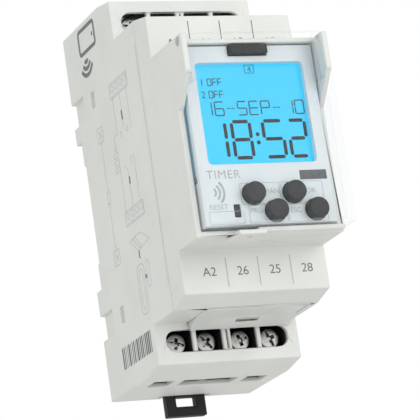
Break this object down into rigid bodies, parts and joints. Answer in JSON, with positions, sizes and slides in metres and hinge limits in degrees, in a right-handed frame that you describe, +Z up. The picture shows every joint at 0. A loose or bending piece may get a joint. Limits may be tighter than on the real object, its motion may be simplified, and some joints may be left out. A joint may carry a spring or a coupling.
{
  "type": "din rail timer",
  "caption": "DIN rail time switch: stepped grey case, hinged clear cover over a backlit display and keys, screw clamp terminals at top and bottom, and a sprung rail clip.",
  "frame": {"origin": "middle of the case face that rests on the front of the DIN rail, at the rail's centre line", "axes": "+Y out of the back towards the wall, -Y is the front, +Z up along the rail's height, +X to the right seen from the front"},
  "size_m": [0.0356, 0.072, 0.0949],
  "materials": {
    "housing": "fine-textured warm light grey",
    "clear": "clear polished",
    "panel": "smooth pale blue-grey",
    "black": "satin black",
    "button": "matte dark grey",
    "screw": "zinc-plated",
    "cage": "nickel-plated",
    "bar": "tinned copper alloy",
    "spring": "bright spring steel",
    "display": "backlit liquid crystal, cyan",
    "light_guide": "clear acrylic",
    "white": "white",
    "contact_rubber": "matte",
    "board": "green solder mask",
    "relay": "blue case",
    "sleeve": "shrink sleeve",
    "varistor": "dipped coating",
    "transformer": "wound and taped",
    "film": "moulded case",
    "cell": "bright steel"
  },
  "bodies": {
    "housing": {"rear_housing": "housing", "front_housing": "housing", "front_panel": "panel", "lcd_glass": "display", "lcd_backlight": "light_guide", "lcd_frame": "white", "contact_strip": "contact_rubber", "display_board": "board", "link_board": "board", "power_board": "board", "relay_left": "relay", "relay_right": "relay", "smoothing_capacitor": "sleeve", "supply_transformer": "transformer", "film_capacitor": "film", "varistor": "varistor", "switch_manual": "black", "switch_ok": "black", "switch_program": "black", "switch_escape": "black", "switch_reset": "black", "clip_spring": "spring", "bus_bar_top_1": "bar", "bus_bar_top_2": "bar", "bus_bar_top_3": "bar", "bus_bar_top_4": "bar", "bus_bar_bottom_1": "bar", "bus_bar_bottom_2": "bar", "bus_bar_bottom_3": "bar", "bus_bar_bottom_4": "bar"},
    "cover": {"clear_cover": "clear"},
    "battery": {"battery_tray": "black", "button_cell": "cell"},
    "clip": {"rail_clip": "black"},
    "reset": {"reset_button": "button"},
    "key_manual": {"button_manual": "button"},
    "key_ok": {"button_ok": "button"},
    "key_program": {"button_program": "button"},
    "key_escape": {"button_escape": "button"},
    "screw_top_1": {"terminal_screw_top_1": "screw"},
    "cage_top_1": {"clamp_cage_top_1": "cage"},
    "screw_top_2": {"terminal_screw_top_2": "screw"},
    "cage_top_2": {"clamp_cage_top_2": "cage"},
    "screw_top_3": {"terminal_screw_top_3": "screw"},
    "cage_top_3": {"clamp_cage_top_3": "cage"},
    "screw_top_4": {"terminal_screw_top_4": "screw"},
    "cage_top_4": {"clamp_cage_top_4": "cage"},
    "screw_bottom_1": {"terminal_screw_bottom_1": "screw"},
    "cage_bottom_1": {"clamp_cage_bottom_1": "cage"},
    "screw_bottom_2": {"terminal_screw_bottom_2": "screw"},
    "cage_bottom_2": {"clamp_cage_bottom_2": "cage"},
    "screw_bottom_3": {"terminal_screw_bottom_3": "screw"},
    "cage_bottom_3": {"clamp_cage_bottom_3": "cage"},
    "screw_bottom_4": {"terminal_screw_bottom_4": "screw"},
    "cage_bottom_4": {"clamp_cage_bottom_4": "cage"}
  },
  "joints": [
    {"name": "cover_hinge", "type": "hinge", "parent": "housing", "child": "cover", "pos_m": [0, -0.066, 0.021], "axis": [-1, 0, 0], "range_deg": [0, 110]},
    {"name": "key_manual_press", "type": "slide", "parent": "housing", "child": "key_manual", "axis": [0, 1, 0], "range_m": [0, 0.0005], "stiffness_N_per_m": 600, "springref_m": -0.0005},
    {"name": "key_ok_press", "type": "slide", "parent": "housing", "child": "key_ok", "axis": [0, 1, 0], "range_m": [0, 0.0005], "stiffness_N_per_m": 600, "springref_m": -0.0005},
    {"name": "key_program_press", "type": "slide", "parent": "housing", "child": "key_program", "axis": [0, 1, 0], "range_m": [0, 0.0005], "stiffness_N_per_m": 600, "springref_m": -0.0005},
    {"name": "key_escape_press", "type": "slide", "parent": "housing", "child": "key_escape", "axis": [0, 1, 0], "range_m": [0, 0.0005], "stiffness_N_per_m": 600, "springref_m": -0.0005},
    {"name": "reset_press", "type": "slide", "parent": "housing", "child": "reset", "axis": [0, 1, 0], "range_m": [0, 0.0005], "stiffness_N_per_m": 600, "springref_m": -0.0005},
    {"name": "battery_slide", "type": "slide", "parent": "housing", "child": "battery", "axis": [0, -1, 0], "range_m": [0, 0.003]},
    {"name": "clip_slide", "type": "slide", "parent": "housing", "child": "clip", "axis": [0, 0, -1], "range_m": [0, 0.004], "stiffness_N_per_m": 1500, "springref_m": -0.001, "deforming": ["clip_spring"]},
    {"name": "screw_top_1_turn", "type": "hinge", "parent": "housing", "child": "screw_top_1", "pos_m": [-0.0117, -0.0262, 0.0383], "axis": [0, 1, 0], "range_deg": [0, 3025]},
    {"name": "cage_top_1_rise", "type": "slide", "parent": "housing", "child": "cage_top_1", "axis": [0, -1, 0], "range_m": [0, 0.0042]},
    {"name": "screw_top_2_turn", "type": "hinge", "parent": "housing", "child": "screw_top_2", "pos_m": [-0.00425, -0.0262, 0.0383], "axis": [0, 1, 0], "range_deg": [0, 3025]},
    {"name": "cage_top_2_rise", "type": "slide", "parent": "housing", "child": "cage_top_2", "axis": [0, -1, 0], "range_m": [0, 0.0042]},
    {"name": "screw_top_3_turn", "type": "hinge", "parent": "housing", "child": "screw_top_3", "pos_m": [0.00425, -0.0262, 0.0383], "axis": [0, 1, 0], "range_deg": [0, 3025]},
    {"name": "cage_top_3_rise", "type": "slide", "parent": "housing", "child": "cage_top_3", "axis": [0, -1, 0], "range_m": [0, 0.0042]},
    {"name": "screw_top_4_turn", "type": "hinge", "parent": "housing", "child": "screw_top_4", "pos_m": [0.0117, -0.0262, 0.0383], "axis": [0, 1, 0], "range_deg": [0, 3025]},
    {"name": "cage_top_4_rise", "type": "slide", "parent": "housing", "child": "cage_top_4", "axis": [0, -1, 0], "range_m": [0, 0.0042]},
    {"name": "screw_bottom_1_turn", "type": "hinge", "parent": "housing", "child": "screw_bottom_1", "pos_m": [-0.0117, -0.0262, -0.0383], "axis": [0, 1, 0], "range_deg": [0, 3025]},
    {"name": "cage_bottom_1_rise", "type": "slide", "parent": "housing", "child": "cage_bottom_1", "axis": [0, -1, 0], "range_m": [0, 0.0042]},
    {"name": "screw_bottom_2_turn", "type": "hinge", "parent": "housing", "child": "screw_bottom_2", "pos_m": [-0.00425, -0.0262, -0.0383], "axis": [0, 1, 0], "range_deg": [0, 3025]},
    {"name": "cage_bottom_2_rise", "type": "slide", "parent": "housing", "child": "cage_bottom_2", "axis": [0, -1, 0], "range_m": [0, 0.0042]},
    {"name": "screw_bottom_3_turn", "type": "hinge", "parent": "housing", "child": "screw_bottom_3", "pos_m": [0.00425, -0.0262, -0.0383], "axis": [0, 1, 0], "range_deg": [0, 3025]},
    {"name": "cage_bottom_3_rise", "type": "slide", "parent": "housing", "child": "cage_bottom_3", "axis": [0, -1, 0], "range_m": [0, 0.0042]},
    {"name": "screw_bottom_4_turn", "type": "hinge", "parent": "housing", "child": "screw_bottom_4", "pos_m": [0.0117, -0.0262, -0.0383], "axis": [0, 1, 0], "range_deg": [0, 3025]},
    {"name": "cage_bottom_4_rise", "type": "slide", "parent": "housing", "child": "cage_bottom_4", "axis": [0, -1, 0], "range_m": [0, 0.0042]}
  ],
  "couplings": [
    {"joint": "screw_top_1_turn", "follows": "cage_top_1_rise", "rad_per_m": 12566},
    {"joint": "screw_top_2_turn", "follows": "cage_top_2_rise", "rad_per_m": 12566},
    {"joint": "screw_top_3_turn", "follows": "cage_top_3_rise", "rad_per_m": 12566},
    {"joint": "screw_top_4_turn", "follows": "cage_top_4_rise", "rad_per_m": 12566},
    {"joint": "screw_bottom_1_turn", "follows": "cage_bottom_1_rise", "rad_per_m": 12566},
    {"joint": "screw_bottom_2_turn", "follows": "cage_bottom_2_rise", "rad_per_m": 12566},
    {"joint": "screw_bottom_3_turn", "follows": "cage_bottom_3_rise", "rad_per_m": 12566},
    {"joint": "screw_bottom_4_turn", "follows": "cage_bottom_4_rise", "rad_per_m": 12566}
  ]
}
